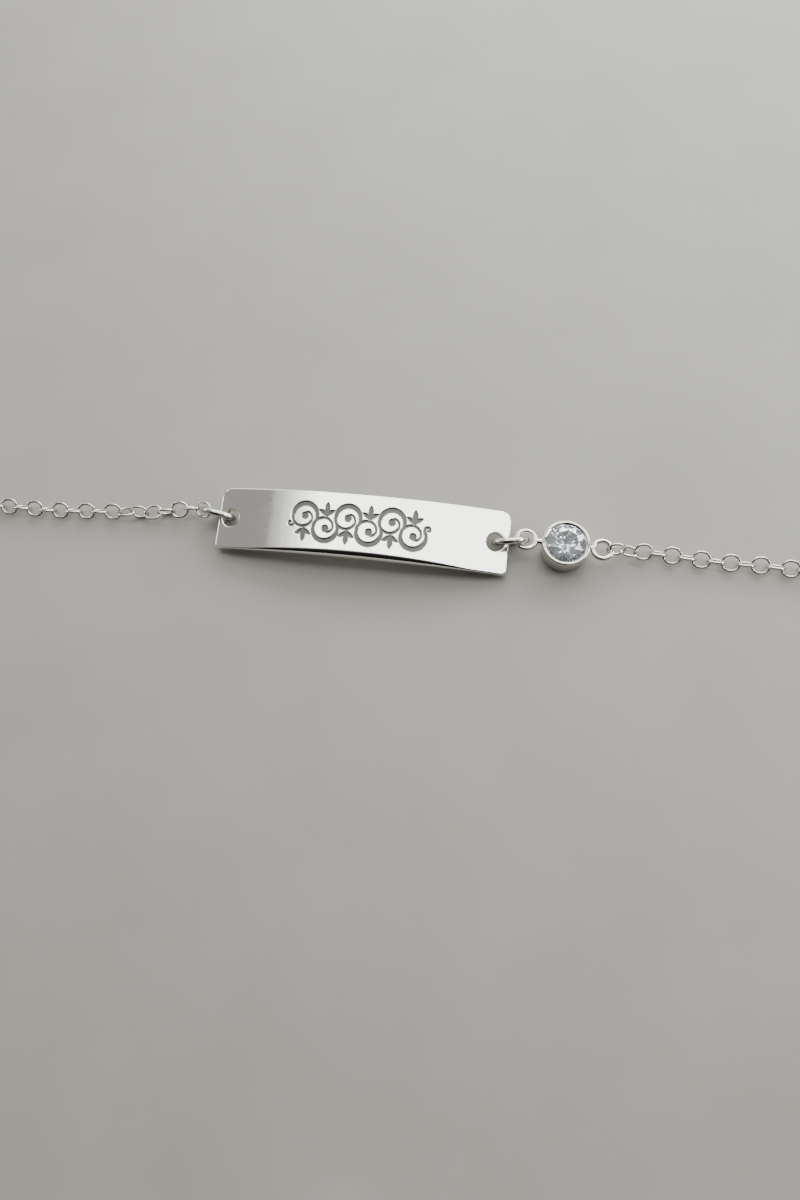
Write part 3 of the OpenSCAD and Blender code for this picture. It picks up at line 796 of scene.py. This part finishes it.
CUP_R = STONE_D / 2 + STONE_GAP + CUP_WALL
FOOT_R = CUP_R - CUP_TAPER / 2
LOOP_R = (LOOP_D - LOOP_WIRE) / 2
LOOP_Z = CUP_H - LOOP_DROP
SEAT_R = STONE_D / 2 + STONE_GAP
GIRDLE_TOP = CUP_H - RIM_H - STONE_GAP
SEAT_Z = GIRDLE_TOP - GIRDLE * STONE_D - STONE_GAP
CUP_AXES = turned_by("x", CUP_NOD) @ turned_by("y", CUP_LEAN) @ turned_by("z", CUP_TURN)


def rounded(corners, steps=5):
    """A closed profile whose corners (radius, height, rounding) are drawn as arcs."""
    made = []
    for k, (x, y, r) in enumerate(corners):
        here = np.array([x, y])
        before = np.array(corners[k - 1][:2]) - here
        after = np.array(corners[(k + 1) % len(corners)][:2]) - here
        before, after = before / np.linalg.norm(before), after / np.linalg.norm(after)
        half = math.acos(np.clip(before @ after, -1, 1)) / 2
        back = r / math.tan(half)
        middle = here + (before + after) / np.linalg.norm(before + after) * r / math.sin(half)
        a, b = here + before * back - middle, here + after * back - middle
        for t in np.linspace(0, 1, steps + 1):
            way = a * (1 - t) + b * t
            made.append(middle + way / np.linalg.norm(way) * r)
    return np.array(made)


def turned_piece(profile, steps):
    """A profile of radius and height turned round the z axis."""
    angles = np.arange(steps) * 2 * math.pi / steps
    rows = [np.stack([profile[:, 0] * math.cos(a), profile[:, 0] * math.sin(a), profile[:, 1]], 1)
            for a in angles]
    return np.concatenate(rows), grid_faces(steps, len(profile), True, True)


def cup_body(steps=128):
    """Foot, wall and rim, the bevelled lip over the stone, the groove that holds it, and its seat."""
    foot_hole = FOOT_R - 2 * CUP_WALL
    profile = rounded([
        (foot_hole, 0, 0.05), (FOOT_R, 0, 0.08),
        (CUP_R, CUP_H - LOOP_DROP / 2, 0.3), (CUP_R, CUP_H, 0.13),
        (STONE_D / 2 + BEVEL_IN, CUP_H, 0.1), (STONE_D / 2 - LIP, CUP_H - BEVEL_FALL, 0.003),
        (SEAT_R, GIRDLE_TOP + STONE_GAP, 0.01), (SEAT_R, SEAT_Z, 0.01),
        ((SEAT_R + foot_hole) / 2, SEAT_Z - SEAT_DEPTH, 0.1)])
    return turned_piece(profile, steps)


def solder_neck(reach, rings=9, sides=24):
    """The short post between the cup and a loop, flared where the solder ran at both ends."""
    start, end = CUP_R - NECK_IN_CUP, reach - LOOP_R + NECK_IN_LOOP
    rows = []
    for u in np.linspace(0, 1, rings):
        r = NECK_R * (1 - NECK_WAIST + NECK_WAIST * (2 * u - 1) ** 2) + NECK_FLARE * (1 - u) ** 3
        a = np.arange(sides) * 2 * math.pi / sides
        rows.append(np.stack([np.full(sides, start + (end - start) * u),
                              r * np.cos(a), NECK_FLAT * r * np.sin(a)], 1))
    faces = [face[::-1] for face in grid_faces(rings, sides, False, True)]
    faces += [tuple(range(sides)), tuple((rings - 1) * sides + k for k in range(sides))[::-1]]
    return np.concatenate(rows), faces


def make_cup(material):
    parts = [cup_body()]
    for side, neck_l in ((0, RIGHT_NECK), (180, LEFT_NECK)):
        reach = CUP_R + neck_l + LOOP_D / 2
        ring, ring_faces = soldered_ring(LOOP_R, LOOP_WIRE, 180, steps=96, sides=20)
        neck, neck_faces = solder_neck(reach)
        turn = turned_by("z", side)
        parts.append(((ring + [reach, 0, LOOP_Z]) @ turn, ring_faces))
        parts.append(((neck + [0, 0, LOOP_Z]) @ turn, neck_faces))
    points, faces = joined(parts)
    make_piece("cup_setting", laid_in("cup", points @ CUP_AXES), faces, material, "cup_silver", ["cup"])


# Stone: a round brilliant

TABLE = 0.56            # width of the table, as a share of the stone's
CROWN, PAVILION = 0.15, 0.42            # heights above and below the edge, as shares of its width
STAR = 0.5              # how far the star facets reach from the table to the edge
LOWER_HALF = 0.78       # how far the lower halves reach from the edge to the point
GIRDLE_FACETS = 64


def ring_of(count, r, z, start=0.0):
    """Points evenly round the z axis, from an angle in degrees."""
    a = np.radians(start) + np.arange(count) * 2 * math.pi / count
    return np.stack([r * np.cos(a), r * np.sin(a), np.full(count, z)], 1)


def make_stone(material):
    """Table, stars, kites and upper halves, the narrow edge, then lower halves and mains."""
    edge = STONE_D / 2
    half_girdle = GIRDLE * STONE_D / 2
    table_r = TABLE * edge
    top = half_girdle + CROWN * STONE_D
    point = -half_girdle - PAVILION * STONE_D
    eighth = math.cos(math.radians(22.5))
    # star points and lower points lie in the planes of the kites that they bound
    star_r = table_r / eighth * (1 - STAR) + edge / eighth * STAR
    star_z = half_girdle + CROWN * STONE_D * (edge - star_r * eighth) / (edge - table_r)
    low_r = edge * (1 - LOWER_HALF)
    low_z = point + PAVILION * STONE_D * low_r * eighth / edge
    per = GIRDLE_FACETS // 16
    points = np.concatenate([
        ring_of(8, table_r, top), ring_of(8, star_r, star_z, 22.5),
        ring_of(GIRDLE_FACETS, edge, half_girdle), ring_of(GIRDLE_FACETS, edge, -half_girdle),
        ring_of(8, low_r, low_z, 22.5), [[0, 0, point]]])
    star, upper, lower = 8, 16, 16 + GIRDLE_FACETS
    deep, tip = lower + GIRDLE_FACETS, lower + GIRDLE_FACETS + 8
    faces = [tuple(range(8))]
    for k in range(8):
        after = (k + 1) % 8
        corner = 2 * per * k
        faces.append((k, star + k, after))
        faces.append((star + (k - 1) % 8, upper + corner, star + k, k))
        faces.append((deep + (k - 1) % 8, tip, deep + k, lower + corner))
        for half in range(2):
            arc = [(corner + half * per + n) % GIRDLE_FACETS for n in range(per + 1)]
            faces.append((star + k, *[upper + n for n in arc]))
            faces.append((deep + k, *[lower + n for n in arc[::-1]]))
    for n in range(GIRDLE_FACETS):
        m = (n + 1) % GIRDLE_FACETS
        faces.append((upper + n, lower + n, lower + m, upper + m))
    make_piece("round_brilliant", laid_in("stone", points @ CUP_AXES), faces, material, "cut_stone",
               ["stone"], flat=True)


# Clasp: a spring ring, closed, with its eye and thumb nub

CLASP_TUBE = 1.0
CLASP_D = 5.0
EYE_D, EYE_WIRE = 2.0, 0.4
CLASP_TURN = 9.3
CLASP_SEAM = 40         # place of the tube's joint in degrees
EYE_SINK = 0.1          # how far the eye is let into the tube
NUB_AT = 70             # place of the thumb nub in degrees
NUB_R, NUB_OUT, NUB_IN = CLASP_TUBE / 4, 1.0, 0.1       # its radius, and its reach out and in
AXIS = 0.001            # stands for the axis in a profile, which can't touch it


def make_clasp(material):
    tube_r = (CLASP_D - CLASP_TUBE) / 2
    eye_r = (EYE_D - EYE_WIRE) / 2
    body, faces = soldered_ring(tube_r, CLASP_TUBE, CLASP_SEAM, steps=160, sides=36)
    eye, eye_faces = soldered_ring(eye_r, EYE_WIRE, 0, steps=96, sides=20)
    nub = rounded([(AXIS, -NUB_IN, 0.001), (NUB_R, -NUB_IN, 0.01),
                   (NUB_R, NUB_OUT, 0.12), (AXIS, NUB_OUT, 0.001)], steps=4)
    nub, nub_faces = turned_piece(nub, 32)
    nub = (nub @ turned_by("y", 90) + [tube_r, 0, 0]) @ turned_by("z", NUB_AT)
    reach = tube_r + CLASP_TUBE / 2 + eye_r - EYE_SINK
    points, faces = joined([(body, faces), (eye - [reach, 0, 0], eye_faces), (nub, nub_faces)])
    placed = laid_in("clasp", points @ turned_by("z", CLASP_TURN))
    make_piece("spring_ring_clasp", placed, faces, material, "clasp_silver", ["clasp"])


def main():
    # what Blender's own first scene holds
    for name in ("Cube", "Light", "Camera"):
        if name in bpy.data.objects:
            bpy.data.objects.remove(bpy.data.objects[name])
    make_camera()
    make_lamps()
    make_room()
    make_surface()
    # the wire, the cup and the chain get tints duller than silver's own, which is painted shade for the
    # dark room that they mirror
    ring_silver = tumbled_silver("tumbled_silver_wire", "#BFBDB8", gloss=0.13, mark_mm=0.35)
    cup_silver = tumbled_silver("burnished_silver_cup", "#DAD7D1", gloss=0.09, mark_mm=0.5)
    chain_silver = tumbled_silver("drawn_silver_chain_wire", "#CCCAC5", gloss=0.08, mark_mm=0.12)
    clasp_silver = tumbled_silver("tumbled_silver_tube", SILVER, gloss=0.1, mark_mm=0.5)
    make_plate(polished_plate_silver())
    make_ring("jump_ring_left", "ring_left", RING_WIRE, 250, ring_silver, "ring_silver")
    make_ring("jump_ring_right", "ring_right", RING_WIRE, 290, ring_silver, "ring_silver")
    make_cup(cup_silver)
    make_stone(cut_zirconia())
    make_chain("cable_chain_left", "chain_left", LEFT_LINK_L, chain_silver, "chain_silver")
    make_chain("cable_chain_right", "chain_right", RIGHT_LINK_L, chain_silver, "chain_silver")
    make_clasp(clasp_silver)
    make_ring("clasp_jump_ring", "clasp_ring", CLASP_RING_WIRE, 250, ring_silver, "ring_silver")
    make_ring("end_jump_ring", "end_ring", RING_WIRE, 250, ring_silver, "ring_silver")


main()
